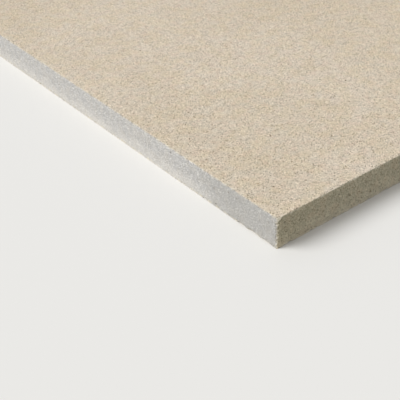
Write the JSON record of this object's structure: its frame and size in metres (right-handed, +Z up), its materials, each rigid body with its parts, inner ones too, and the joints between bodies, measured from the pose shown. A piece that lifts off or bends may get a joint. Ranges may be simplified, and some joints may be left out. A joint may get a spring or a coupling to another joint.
{
  "type": "insulation sheet",
  "caption": "Rigid mineral insulation board, beige granular faces and sawn edges, 1000 x 610 x 25 mm, with a worn corner.",
  "frame": {"origin": "middle of the bottom face", "axes": "X along the length, Y along the width, Z up through the thickness; the worn corner is at -X, -Y"},
  "size_m": [1, 0.61, 0.025],
  "materials": {
    "board": "matte"
  },
  "bodies": {
    "root": {"insulation_board": "board"}
  },
  "joints": []
}
